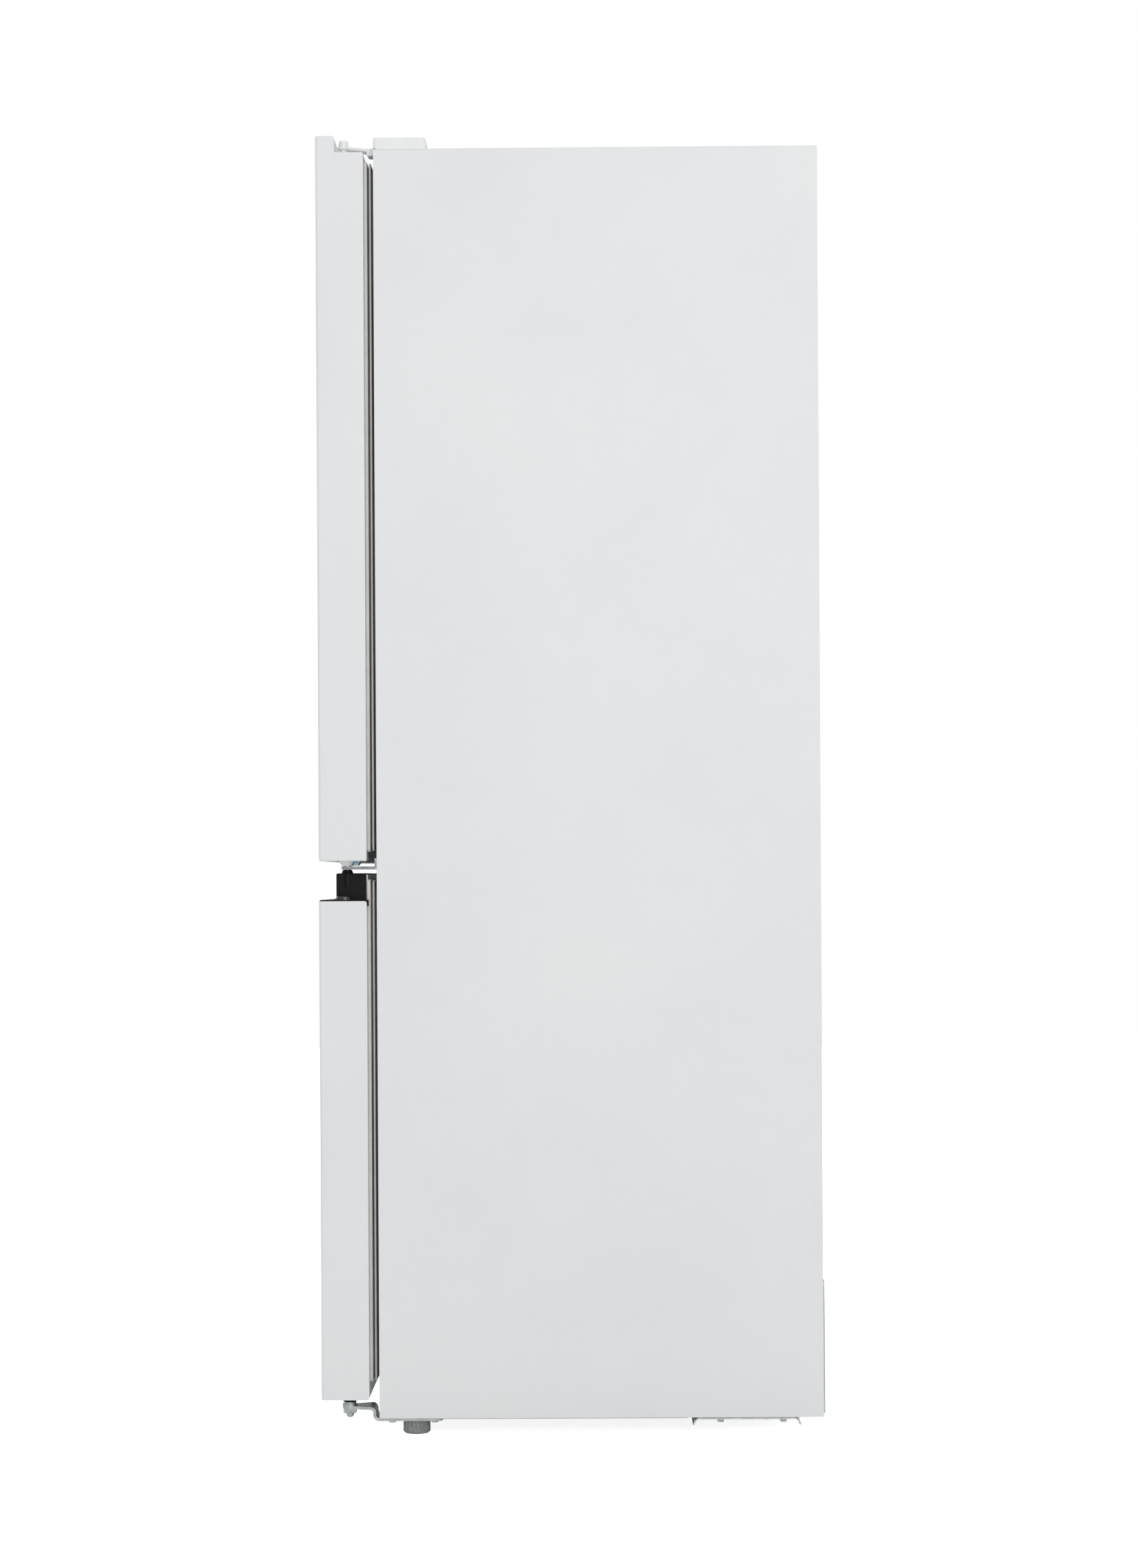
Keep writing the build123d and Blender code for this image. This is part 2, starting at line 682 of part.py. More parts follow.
def drawer(half_x, y0, y1, z0, z1, wall, front_thick, runner=0):
    """An open tray with a thick front, a finger lip behind the front's top edge and side runners."""
    tray = tub(half_x, y0 + 1, y1, z0, z1, 10) + wide(half_x, y0, y0 + front_thick, z0, z1 + 4)
    tray -= tub(half_x - wall, y0 + front_thick, y1 - wall, z0 + wall, z1 + 20, 10 - wall)
    tray += wide(half_x * 0.45, y0 + front_thick - 1, y0 + front_thick + 12, z1 - 4, z1)
    grip = wide(half_x * 0.42, y0 - 1, y0 + front_thick - 2.4, z1 - 26, z1 - 6)
    tray -= fillet(grip.edges().filter_by(Axis.Y), 6)
    if runner:
        rail = block(half_x - 1, half_x + runner, y0 + 30, y1 - 12, z1 - 8, z1 - 3)
        tray += rail
        tray += other_side(rail)
    return tray


crisper_front = -136


def crisper_drawer():
    return drawer(inner_half - 8, crisper_front, 232, fridge_low + 3, 1008, 2.4, 8)


def air_duct_panel():
    """Rear duct moulding with rows of air slots and a lamp recess."""
    y0, y1 = 252, fridge_back - 2
    panel = wide(110, y0, y1, 1040, fridge_high - 14)
    front_face = panel.faces().sort_by(Axis.Y)[0]
    panel = fillet(panel.edges().filter_by(Axis.Y) + front_face.edges().filter_by(Axis.Z), 8)
    panel -= wide(104, y0 + 3, y1 + 1, 1046, fridge_high - 20)
    for z in (1110, 1215, 1350, 1500):
        for side in (-1, 1):
            for step in range(3):
                low = z + step * 11
                slot = block(side * 30, side * 88, y0 - 1, y0 + 4, low, low + 5)
                panel -= fillet(slot.edges().filter_by(Axis.Y), 2.2)
    return panel


control_low = 1612


def control_housing():
    """Ceiling box for the thermostat knob and the lamp."""
    y0, y1 = -90, 120
    box = wide(125, y0, y1, control_low, fridge_high)
    box = fillet(box.edges().filter_by(Axis.Z), 14)
    box = fillet(box.faces().sort_by(Axis.Z)[0].edges(), 5)
    box -= wide(119, y0 + 6, y1 - 6, control_low + 3, fridge_high + 1)
    box -= block(-100, 30, y0 + 24, y1 - 24, control_low - 1, control_low + 4)
    return box - post(knob_x, knob_y, control_low - 1, control_low + 4, knob_stem + 0.08)


knob_x = 78
knob_y = 15
knob_stem = 4


def light_lens():
    """Frosted lens over the lamp, set into the control box."""
    lens = block(-99.8, 29.8, -65.8, 95.8, control_low - 2, control_low + 3)
    return fillet(lens.faces().sort_by(Axis.Z)[0].edges(), 1.8)


def temperature_knob():
    """Round knob with a finger bar, under the control box."""
    knob = post(knob_x, knob_y, control_low - 8, control_low - 0.5, 21)
    knob = fillet(knob.faces().sort_by(Axis.Z)[0].edges(), 2)
    bar = block(knob_x - 3.5, knob_x + 3.5, knob_y - 19, knob_y + 19, control_low - 17, control_low - 8)
    bar_end = bar.faces().sort_by(Axis.Z)[0]
    bar = fillet(bar.edges().filter_by(Axis.Z) + bar_end.edges().filter_by(Axis.Y), 2.5)
    return knob + bar + post(knob_x, knob_y, control_low - 0.5, control_low + 10, knob_stem)


# ---- freezer compartment -------------------------------------------------------------------------
drawer_front = -214
duct_front = 196
drawer_levels = ((512, 690), (300, 478), (freezer_low + 4, 262))  # top, middle and bottom drawers


def drawer_ledges():
    """Moulded runners under the drawers' side rails."""
    ledges = []
    for (low, high), back in zip(drawer_levels, (duct_front, duct_front, hump_front)):
        z = high - 8.4
        ledge = block(inner_half - 7.5, inner_half, drawer_front + 14, back - 8, z - 7, z)
        ledges += [ledge, other_side(ledge)]
    return ledges


def freezer_drawer(level):
    low, high = drawer_levels[level]
    back = (duct_front - 6, duct_front - 6, hump_front - 6)[level]
    return drawer(inner_half - 9.5, drawer_front, back, low, high, 2.4, 9, runner=8)


fan_z = 600
fan_radius = 46
fan_collar_back = duct_front + 32
coil_y = 234


def evaporator_cover():
    """Moulded wall in front of the cold coil, with the fan's grille and the return slots."""
    y0, y1 = duct_front, duct_front + 12
    cover = wide(inner_half - 1, y0, y1, hump_high + 2, freezer_high - 1)
    cover -= wide(inner_half - 4, y0 + 2.6, y1 + 1, hump_high + 5, freezer_high - 4)
    collar = rod_y(0, y0, fan_collar_back, fan_z, fan_radius + 5)
    collar -= rod_y(0, y0 - 1, fan_collar_back + 1, fan_z, fan_radius + 2)
    cover += collar
    ring_gap = 7
    for i in range(1, 6):
        outer = i * ring_gap + 4
        cover -= rod_y(0, y0 - 1, y0 + 3, fan_z, outer + 4) - rod_y(0, y0 - 2, y0 + 4, fan_z, outer)
    for angle in range(0, 180, 45):
        spoke = Pos(0, y0 + 1.3, fan_z) * Rot(0, angle, 0) * Box(2 * fan_radius + 6, 2.6, 3)
        cover += spoke
    for row in range(3):
        for column in range(-4, 5):
            slot = block(column * 50 - 18, column * 50 + 18, y0 - 1, y0 + 3, 282 + row * 12, 288 + row * 12)
            cover -= slot
    return cover


def evaporator_fan():
    """Five-blade axial impeller on its hub."""
    y0 = duct_front + 8
    hub = rod_y(0, y0, y0 + 20, fan_z, 14)
    hub = fillet(hub.faces().sort_by(Axis.Y)[0].edges(), 3)
    blades = 5
    for i in range(blades):
        blade = Pos(fan_radius / 2 + 4, 0, 0) * Rot(28, 0, 0) * Box(fan_radius - 10, 2, 24)
        tip = Rot(90, 0, 0) * Cylinder(fan_radius, 40)
        hub += Pos(0, y0 + 10, fan_z) * Rot(0, i * 360 / blades, 0) * (blade & tip)
    return hub - rod_y(0, y0 + 6, y0 + 21, fan_z, 3.06)


def fan_motor():
    """Small motor on three flat legs that end on the rim of the fan's collar."""
    y0 = fan_collar_back
    motor = rod_y(0, y0, y0 + 24, fan_z, 19)
    motor = fillet(motor.edges(), 2)
    for angle in (90, 210, 330):
        leg = Pos((fan_radius + 5) / 2, 0, 0) * Box(fan_radius + 3, 5, 8)
        motor += Pos(0, y0 + 2.5, fan_z) * Rot(0, angle, 0) * leg
    return motor + rod_y(0, duct_front + 15, y0 + 1, fan_z, 3)


def evaporator_coil():
    """Aluminium fin-and-tube coil on the back wall above the machine compartment."""
    tube_radius = 4
    rows = 6
    reach = 190
    low = 300
    fins = []
    solid = None
    for i in range(rows):
        z = low + i * 30
        run = rod_x(-reach, reach, coil_y, z, tube_radius)
        solid = run if solid is None else solid + run
    for i in range(rows - 1):
        side = 1 if i % 2 == 0 else -1
        z = low + i * 30 + 15
        bend = Pos(side * reach, coil_y, z) * Rot(90, 0, 0) * Torus(15, tube_radius)
        keep = block(side * reach, side * (reach + 25), coil_y - 10, coil_y + 10, z - 30, z + 30)
        solid += bend & keep
    fin_count = 24
    for i in range(fin_count):
        x = -reach + 15 + i * (2 * reach - 30) / (fin_count - 1)
        fins.append(block(x - 0.5, x + 0.5, coil_y - 16, coil_y + 16, low - 12, low + (rows - 1) * 30 + 12))
    for fin in fins:
        solid += fin
    return solid


# ---- doors -----------------------------------------------------------------------------------------
def upper_outline(inset_z):
    """The upper door from the side: the front rises in a lip above the hinge step."""
    lip_back = front + lip_depth
    return [
        (front, upper_low + inset_z),
        (front, height),
        (lip_back, height),
        (lip_back, upper_high),
        (door_rear, upper_high),
        (door_rear, upper_low + inset_z),
    ]


def upper_door_skin():
    """Painted steel front with both sides folded back, notched behind the lip."""
    body = rounded_profile(upper_outline(1.5), -half, half, (2.5, 3, 3, 3, 2, 2.5))
    body &= door_plan(0, upper_low, height, door_rear)
    return body - door_plan(sheet, upper_low - 1, height + 1, door_rear + 1)


def upper_door_top_cap():
    """Moulded top end: a lip, a step and the socket of the top pin."""
    body = rounded_profile(upper_outline(1.5), -half, half, (0, 3, 3, 3, 2, 0))
    body &= door_plan(sheet, 1682, height, door_rear)
    body -= wide(half - 4, front + 4, door_rear - 4, 1681, upper_high - 2.6)
    body -= wide(half - 4, front + 4, front + lip_depth - 2.6, 1681, height - 2.6)
    for side in (-1, 1):
        body += post(side * hinge_x, hinge_y, 1682, upper_high - 2, 9.5)
        body -= post(side * hinge_x, hinge_y, 1681, upper_high + 1, 5.06)
    return body + plug(-hinge_x, upper_high, 1, 5.06)


def plug(x, z, up, hole_radius):
    """Fills the unused pin hole of the other hand, with a low round head."""
    head = post(x, hinge_y, z, z + 1.6, 8)
    head = fillet(head.faces().sort_by(Axis.Z)[-1].edges(), 1)
    body = head + post(x, hinge_y, z - 9, z, hole_radius)
    return body if up > 0 else mirror(body, about=Plane.XY.offset(z))


def upper_door_bottom_cap():
    """Moulded bottom end with a rim under the skin, a finger scoop and the bush of the middle pin."""
    rim = door_plan(0.6, upper_low, upper_low + 1.5, door_rear)
    rim = chamfer(rim.faces().sort_by(Axis.Z)[0].edges(), 0.9)
    body = rim + door_plan(sheet, upper_low + 1.5, upper_low + 26, door_rear - liner_wall)
    body -= wide(half - 4, front + 4, door_rear - 5, upper_low + 4, upper_low + 27)
    scoop_wall = wide(150, front + 3, front + 34, upper_low + 1, upper_low + 26)
    body += fillet(scoop_wall.edges().filter_by(Axis.X).group_by(Axis.Z)[-1], 10)
    scoop = wide(147, front + 5.5, front + 31.5, upper_low - 1, upper_low + 23.5)
    body -= fillet(scoop.edges().filter_by(Axis.X).group_by(Axis.Z)[-1], 8)
    body += cone(hinge_x, hinge_y, middle_plate_high + 0.9, upper_low + 0.5, 7.5, 11)
    for side in (-1, 1):
        body += post(side * hinge_x, hinge_y, upper_low + 2, upper_low + 26, 9.5)
        body -= post(side * hinge_x, hinge_y, upper_low - 8, upper_low + 27, 4.06)
    return body + plug(-hinge_x, upper_low, -1, 4.06)


def upper_door_stop():
    """Zinc stop under the upper door, behind the middle pin."""
    outline = [
        (hinge_y + 5, upper_low),
        (hinge_y + 5, 756),
        (hinge_y + 14.5, 756),
        (hinge_y + 18.5, upper_low),
    ]
    return side_profile(outline, hinge_x - 16, hinge_x + 6) - post(hinge_x, hinge_y, 750, upper_low + 1, 11.2)


def upper_relief(shrink):
    """The upper door's inner moulding: a low plateau with two ribs that hold the bins."""
    s = shrink
    relief = wide(243 - s, door_rear - liner_wall, -262 - s, 798 + s, 1652 - s)
    relief = fillet(relief.edges().filter_by(Axis.Y), 12 - s)
    for side in (-1, 1):
        x0, x1 = side * (225 + s), side * (238 - s)
        rib = block(x0, x1, door_rear - liner_wall, -196 - s, 806 + s, 1644 - s)
        relief += fillet(rib.edges().filter_by(Axis.X).group_by(Axis.Y)[-1], 10 - s)
    return relief


def upper_door_liner():
    sheet_part = wide(half - sheet, door_rear - liner_wall, door_rear, upper_low + 1.6, upper_high)
    sheet_part &= rounded_profile(upper_outline(1.5), -half, half, (0, 3, 3, 3, 2, 0))
    sheet_part -= wide(half, door_rear - 3, door_rear + 1, 1682, height)
    liner = sheet_part + upper_relief(0) - upper_relief(liner_wall)
    return liner


def upper_door_foam():
    foam = door_plan(sheet, upper_low + 26, 1682, door_rear - liner_wall)
    return foam + upper_relief(liner_wall)


def lower_outline():
    return [(front, lower_low), (front, lower_high), (door_rear, lower_high), (door_rear, lower_low)]


def lower_door_skin():
    body = rounded_profile(lower_outline(), -half, half, (2.5, 2.5, 3, 2.5))
    body &= door_plan(0, lower_low, lower_high, door_rear)
    return body - door_plan(sheet, lower_low - 1, lower_high + 1, door_rear + 1)


trough_half = 150


def lower_door_grip_rail():
    """Black moulded top end: a ledge, a raised rail set back from the front and a finger trough."""
    inner_rear = door_rear - liner_wall
    ledge = door_plan(0.6, lower_high, lower_high + 1.8, inner_rear)
    ledge = chamfer(ledge.faces().sort_by(Axis.Z)[-1].edges(), 1.2)
    skirt = door_plan(sheet, lower_high - 36, lower_high, inner_rear)
    rail = wide(grip_half, grip_front, inner_rear, lower_high + 1, grip_high)
    top_edges = rail.faces().sort_by(Axis.Z)[-1].edges()
    rail = fillet(top_edges.filter_by(Axis.X).sort_by(Axis.Y)[:1] + top_edges.filter_by(Axis.Y), 2)
    flare = rounded_profile(
        [(grip_front - 3, lower_high + 1), (grip_front, lower_high + 5), (grip_front + 5, lower_high + 1)],
        -grip_half,
        grip_half,
        (0, 0, 0),
    )
    body = ledge + skirt + rail + flare
    body -= wide(half - 4, front + 4, inner_rear - 2.5, lower_high - 37, lower_high - 2)
    body -= wide(grip_half - 2.5, grip_front + 2.5, inner_rear - 2.5, lower_high - 37, grip_high - 2.5)
    basin = wide(trough_half, front + 3, grip_front + 15, lower_high - 30, lower_high + 1)
    body += fillet(basin.edges().filter_by(Axis.X).group_by(Axis.Z)[0], 10)
    body += wide(trough_half, grip_front, grip_front + 15, lower_high, grip_high - 2)
    trough = rounded_profile(
        [
            (front + 5.5, lower_high + 3),
            (front + 5.5, lower_high - 27.5),
            (grip_front + 12.5, lower_high - 27.5),
            (grip_front + 12.5, grip_high - 12),
            (grip_front - 1, grip_high - 6),
            (grip_front - 6, lower_high + 3),
        ],
        -trough_half + 2.5,
        trough_half - 2.5,
        (0, 8, 8, 6, 0, 0),
    )
    body -= trough
    for side in (-1, 1):
        body += post(side * hinge_x, hinge_y, 728, grip_high - 2, 9)
        tab = block(half - 8.8, half - 1, door_rear, door_rear + 2.2, lower_high - 6, lower_high + 1.8)
        neck = block(half - 8.8, half - 1, inner_rear, door_rear, lower_high + 0.1, lower_high + 1.8)
        for piece in (tab, neck):
            body += piece if side > 0 else other_side(piece)
    body += cone(hinge_x, hinge_y, grip_high - 0.5, 750.6, 8.2, 6)
    for side in (-1, 1):
        body -= post(side * hinge_x, hinge_y, 727, 752, 4.06)
    return body


def ledge_plugs():
    """Domed caps in the ledge at each end of the rail, and the cap of the unused pin hole."""
    caps = []
    for side in (-1, 1):
        x, y = side * (half - 8.6), grip_front + 10.3
        foot = Pos(x, y, lower_high + 1.8) * extrude(Ellipse(6.4, 10.4), 1.4)
        dome = Pos(x, y, lower_high + 3.2) * extrude(Ellipse(5.6, 9.6), 3.6)
        dome = fillet(dome.faces().sort_by(Axis.Z)[-1].edges(), 3)
        caps.append(foot + dome)
    head = post(-hinge_x, hinge_y, grip_high, grip_high + 1.6, 7)
    head = fillet(head.faces().sort_by(Axis.Z)[-1].edges(), 1)
    caps.append(head + post(-hinge_x, hinge_y, 732, grip_high, 4.06))
    return Compound(caps)


def lower_door_bottom_cap():
    """Moulded bottom end with the dark bush's seat of the bottom pin."""
    rim = door_plan(1.4, lower_low, lower_low + 3, door_rear - liner_wall)
    rim = chamfer(rim.faces().sort_by(Axis.Z)[0].edges(), 0.9)
    body = rim + door_plan(sheet, lower_low + 3, lower_low + 22, door_rear - liner_wall)
    body -= wide(half - 4, front + 4, door_rear - 5, lower_low + 6, lower_low + 23)
    for side in (-1, 1):
        body += post(side * hinge_x, hinge_y, lower_low + 3, lower_low + 22, 10)
        body -= post(side * hinge_x, hinge_y, lower_low - 1, lower_low + 23, 6.5)
    return body


def lower_door_bushes():
    """Dark bush on the bottom pin and the blank bush of the other hand."""
    parts = []
    for side in (-1, 1):
        bush = post(side * hinge_x, hinge_y, lower_low, lower_low + 16, 6.5)
        flange = cone(side * hinge_x, hinge_y, lower_low - 5, lower_low, 9, 14)
        bush += flange
        if side > 0:
            bush -= post(hinge_x, hinge_y, lower_low - 6, lower_low + 17, 5.06)
        parts.append(bush)
    return Compound(parts)


def lower_relief(shrink):
    s = shrink
    relief = wide(238 - s, door_rear - liner_wall, -240 - s, 96 + s, 716 - s)
    return fillet(relief.edges().filter_by(Axis.Y) + relief.faces().sort_by(Axis.Y)[-1].edges(), 14 - s)


def lower_door_liner():
    sheet_part = wide(half - sheet, door_rear - liner_wall, door_rear, lower_low + 3, lower_high - 3)
    sheet_part += wide(grip_half - 1, door_rear - liner_wall, door_rear, lower_high - 4, 744)
    return sheet_part + lower_relief(0) - lower_relief(liner_wall)


def lower_door_foam():
    foam = door_plan(sheet, lower_low + 22, lower_high - 36, door_rear - liner_wall)
    relief = lower_relief(liner_wall) - wide(half, front, door_rear - liner_wall, 0, height)
    return foam + relief


# The gasket's layers from the door to the cabinet: depth, how far its outer edge is stepped in beside
# the hinge (so that it clears the cabinet as the door swings) and at top and bottom.
gasket_layers = (
    (4.6, 0, 0),
    (2.1, 4.6, 2.0),
    (2.7, 5.2, 1.0),
    (1.8, 12.0, 3.6),
    (2.0, 13.6, 2.6),
)
gasket_outer = half - 9
gasket_inner = 262


def gasket(z0, z1):
    """Magnetic bellows gasket as stacked frames."""
    ring = None
    y = door_rear
    for deep, step_x, step_z in gasket_layers:
        outer = wide(gasket_outer - step_x, y, y + deep, z0 + step_z, z1 - step_z)
        outer = fillet(outer.edges().filter_by(Axis.Y), 5)
        inner_half_x = gasket_inner + (1.6 if step_x > 4 else 0)
        hole = wide(inner_half_x, y - 1, y + deep + 1, z0 + 13, z1 - 13)
        frame = outer - fillet(hole.edges().filter_by(Axis.Y), 3)
        ring = frame if ring is None else ring + frame
        y += deep
    return ring


bins = {"low": (826, 110), "middle": (1110, 82), "top": (1390, 82)}  # underside and height


def door_bin(low, tall):
    """A clear balcony bin that hangs between the ribs of the upper door and lifts off upwards."""
    y0, y1 = -261.4, -166
    body = tub(224, y0, y1, low, low + tall, 9)
    rim = wide(224, y0 + 8, y1 + 2, low + tall - 10, low + tall)
    body += fillet(rim.edges().filter_by(Axis.Z), 9)
    return body - tub(221.6, y0 + 2.4, y1 - 2.4, low + 2.4, low + tall + 20, 6.6)


pieces = {
    "cabinet_shell": cabinet_shell,
    "back_panel": back_panel,
    "bottom_panel": bottom_panel,
    "mullion_rail": mullion_rail,
    "fridge_liner": fridge_liner,
    "freezer_liner": freezer_liner,
    "cabinet_foam": cabinet_foam,
    "condenser_coil": condenser_coil,
    "compressor_base": compressor_base,
    "compressor_bolts": compressor_bolts,
    "compressor_grommets": compressor_grommets,
    "compressor": compressor,
    "relay_cover": relay_cover,
    "drip_tray": drip_tray,
    "refrigerant_tubes": refrigerant_tubes,
    "rear_cover": rear_cover,
    "cord_gland": cord_gland,
    "rear_roller_brackets": rear_roller_brackets,
    "rear_roller_left": lambda: rear_roller(-1),
    "rear_roller_right": lambda: rear_roller(1),
    "bottom_brackets": bottom_brackets,
    "hinge_pins": hinge_pins,
    "levelling_foot_left": lambda: levelling_foot(-1),
    "levelling_foot_right": lambda: levelling_foot(1),
    "middle_hinge_plate": middle_hinge_plate,
    "top_hinge_plate": top_hinge_plate,
    "top_hinge_cover": top_hinge_cover,
    "screws": screws,
    "glass_shelves": glass_shelves,
    "shelf_trims": shelf_trims,
    "crisper_drawer": crisper_drawer,
    "air_duct_panel": air_duct_panel,
    "control_housing": control_housing,
    "light_lens": light_lens,
    "temperature_knob": temperature_knob,
    "freezer_drawer_top": lambda: freezer_drawer(0),
    "freezer_drawer_middle": lambda: freezer_drawer(1),
    "freezer_drawer_bottom": lambda: freezer_drawer(2),
    "evaporator_cover": evaporator_cover,
    "evaporator_fan": evaporator_fan,
    "fan_motor": fan_motor,
    "evaporator_coil": evaporator_coil,
    "upper_door_skin": upper_door_skin,
    "upper_door_top_cap": upper_door_top_cap,
    "upper_door_bottom_cap": upper_door_bottom_cap,
    "upper_door_stop": upper_door_stop,
    "upper_door_liner": upper_door_liner,
    "upper_door_foam": upper_door_foam,
    "upper_door_gasket": lambda: gasket(774, 1691),
    "door_bin_low": lambda: door_bin(*bins["low"]),
    "door_bin_middle": lambda: door_bin(*bins["middle"]),
    "door_bin_top": lambda: door_bin(*bins["top"]),
    "lower_door_skin": lower_door_skin,
    "lower_door_grip_rail": lower_door_grip_rail,
    "ledge_plugs": ledge_plugs,
    "lower_door_bottom_cap": lower_door_bottom_cap,
    "lower_door_bushes": lower_door_bushes,
    "lower_door_liner": lower_door_liner,
    "lower_door_foam": lower_door_foam,
    "lower_door_gasket": lambda: gasket(71, 738),
}

os.makedirs("parts", exist_ok=True)
for name, make in pieces.items():
    export_step(make(), f"parts/{name}.step")
print(len(pieces), "pieces")
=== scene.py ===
import math

import bmesh
import bpy
from mathutils import Matrix, Vector


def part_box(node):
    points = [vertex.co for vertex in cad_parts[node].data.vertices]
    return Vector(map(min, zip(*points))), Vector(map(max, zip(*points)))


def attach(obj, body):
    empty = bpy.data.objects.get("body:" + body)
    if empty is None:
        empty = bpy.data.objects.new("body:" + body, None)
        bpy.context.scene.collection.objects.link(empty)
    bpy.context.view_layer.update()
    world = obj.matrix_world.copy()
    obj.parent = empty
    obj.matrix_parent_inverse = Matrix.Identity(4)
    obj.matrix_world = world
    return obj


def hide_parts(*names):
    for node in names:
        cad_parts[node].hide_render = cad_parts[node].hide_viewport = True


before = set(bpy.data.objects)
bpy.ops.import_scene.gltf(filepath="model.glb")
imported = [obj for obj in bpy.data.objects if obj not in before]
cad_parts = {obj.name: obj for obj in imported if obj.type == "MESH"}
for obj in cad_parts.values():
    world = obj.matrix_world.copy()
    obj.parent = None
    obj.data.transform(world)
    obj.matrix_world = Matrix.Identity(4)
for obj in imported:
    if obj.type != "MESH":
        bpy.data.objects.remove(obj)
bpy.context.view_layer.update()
scene = bpy.context.scene
mm = 0.001

camera = {
    "place": (3.898, 0.036, 0.737),
    "yaw": -0.6,  # degrees, towards the back of the cabinet
    "pitch": 0.116,
    "roll": -0.313,
    "lens": 86.2,
    "sensorWidth": 36.0,
    "rise": 0.0785,  # the lens is shifted up by this share of the frame's width
    "reach": 60,
}
studio = {
    "backdrop": 1.0,  # what the lens sees past the floor
    "fill": 0.66,  # even light from all round
    "floorSize": 16.0,
    # name: place, aim, size in metres, watts
    "lamps": {
        "keySoftbox": ((3.9, 0.4, 2.3), (0.0, 0.0, 1.0), 2.4, 32),
        "lowSoftbox": ((4.1, 0.7, 0.7), (0.0, 0.0, 0.7), 1.4, 13),
        "topSoftbox": ((0.6, 0.3, 4.0), (0.0, 0.0, 0.8), 3.0, 14),
        "rearSoftbox": ((-2.8, 3.2, 2.0), (0.0, 0.0, 0.9), 2.2, 34),
        "frontSoftbox": ((-2.6, -3.4, 1.9), (0.0, 0.0, 0.9), 2.2, 34),
    },
}


def linear(hexColour, alpha=1.0):
    channels = [int(hexColour[i : i + 2], 16) / 255 for i in (1, 3, 5)]
    return [c / 12.92 if c <= 0.04045 else ((c + 0.055) / 1.055) ** 2.4 for c in channels] + [alpha]


def addNode(tree, kind, settings=None, links=None):
    node = tree.nodes.new(kind)
    for key, value in (settings or {}).items():
        if isinstance(key, int) or key in node.inputs:
            node.inputs[key].default_value = value
        else:
            setattr(node, key, value)
    for key, source in (links or {}).items():
        tree.links.new(source, node.inputs[key])
    return node


def addCamera():
    data = bpy.data.cameras.new("viewCamera")
    data.sensor_fit = "HORIZONTAL"
    data.sensor_width = camera["sensorWidth"]
    data.lens = camera["lens"]
    data.shift_y = camera["rise"]
    data.clip_end = camera["reach"]
    rig = bpy.data.objects.new("viewCamera", data)
    scene.collection.objects.link(rig)
    turn = Matrix.Rotation(math.radians(90 - camera["yaw"]), 4, "Z")
    turn = turn @ Matrix.Rotation(math.radians(90 + camera["pitch"]), 4, "X")
    turn = turn @ Matrix.Rotation(math.radians(camera["roll"]), 4, "Z")
    rig.matrix_world = Matrix.Translation(camera["place"]) @ turn
    scene.camera = rig


def addLamps():
    for name, (place, aim, size, watts) in studio["lamps"].items():
        data = bpy.data.lights.new(name, "AREA")
        data.shape = "DISK"
        data.size = size
        data.energy = watts
        lamp = bpy.data.objects.new(name, data)
        scene.collection.objects.link(lamp)
        lamp.location = place
        lamp.rotation_euler = (Vector(aim) - Vector(place)).to_track_quat("-Z", "Y").to_euler()


def addWorld():
    world = bpy.data.worlds.new("studioWorld")
    world.use_nodes = True
    scene.world = world
    tree = world.node_tree
    tree.nodes.clear()
    path = addNode(tree, "ShaderNodeLightPath")
    fill = addNode(tree, "ShaderNodeBackground", {"Color": (1, 1, 1, 1), "Strength": studio["fill"]})
    backdrop = addNode(tree, "ShaderNodeBackground", {"Color": (1, 1, 1, 1), "Strength": studio["backdrop"]})
    sides = {0: path.outputs["Is Camera Ray"], 1: fill.outputs[0], 2: backdrop.outputs[0]}
    mix = addNode(tree, "ShaderNodeMixShader", links=sides)
    addNode(tree, "ShaderNodeOutputWorld", links={"Surface": mix.outputs[0]})
    scene.view_settings.view_transform = "Standard"


def addMaterial(name, look):
    # colour, gloss and relief each follow their own noise, sized in mm, unless the material brings a pattern
    material = bpy.data.materials.new(name)
    material.use_nodes = True
    tree = material.node_tree
    tree.nodes.clear()
    shader = addNode(tree, "ShaderNodeBsdfPrincipled", look["shader"])
    addNode(tree, "ShaderNodeOutputMaterial", links={"Surface": shader.outputs[0]})
    place = addNode(tree, "ShaderNodeTexCoord").outputs["Object"]
    if "plain" in look:
        shader.inputs["Base Color"].default_value = linear(look["plain"])
    drive = look["pattern"](tree, place) if "pattern" in look else {}
    for layer in ("colour", "gloss", "relief"):
        if layer in look and layer not in drive:
            grain = look[layer]
            spot = place
            if "stretch" in grain:
                spot = addNode(tree, "ShaderNodeMapping", {"Scale": grain["stretch"]}, {"Vector": place}).outputs[0]
            size = {"Scale": 1000 / grain["mm"], "Detail": grain.get("detail", 2)}
            drive[layer] = addNode(tree, "ShaderNodeTexNoise", size, {"Vector": spot}).outputs["Fac"]
    if "colour" in look:
        ramp = addNode(tree, "ShaderNodeValToRGB", links={"Fac": drive["colour"]})
        stops = zip(ramp.color_ramp.elements, look["colour"].get("stops", (0.3, 0.7)), look["colour"]["shades"])
        for element, stop, shade in stops:
            element.position = stop
            element.color = linear(shade)
        tree.links.new(ramp.outputs[0], shader.inputs["Base Color"])
    if "gloss" in look:
        low, high = look["gloss"]["roughness"]
        spread = addNode(tree, "ShaderNodeMapRange", {"To Min": low, "To Max": high}, {"Value": drive["gloss"]})
        tree.links.new(spread.outputs[0], shader.inputs["Roughness"])
    if "relief" in look:
        depth = {"Distance": look["relief"]["deep"] * mm, "Strength": 1.0}
        bump = addNode(tree, "ShaderNodeBump", depth, {"Height": drive["relief"]})
        tree.links.new(bump.outputs[0], shader.inputs["Normal"])
    return material


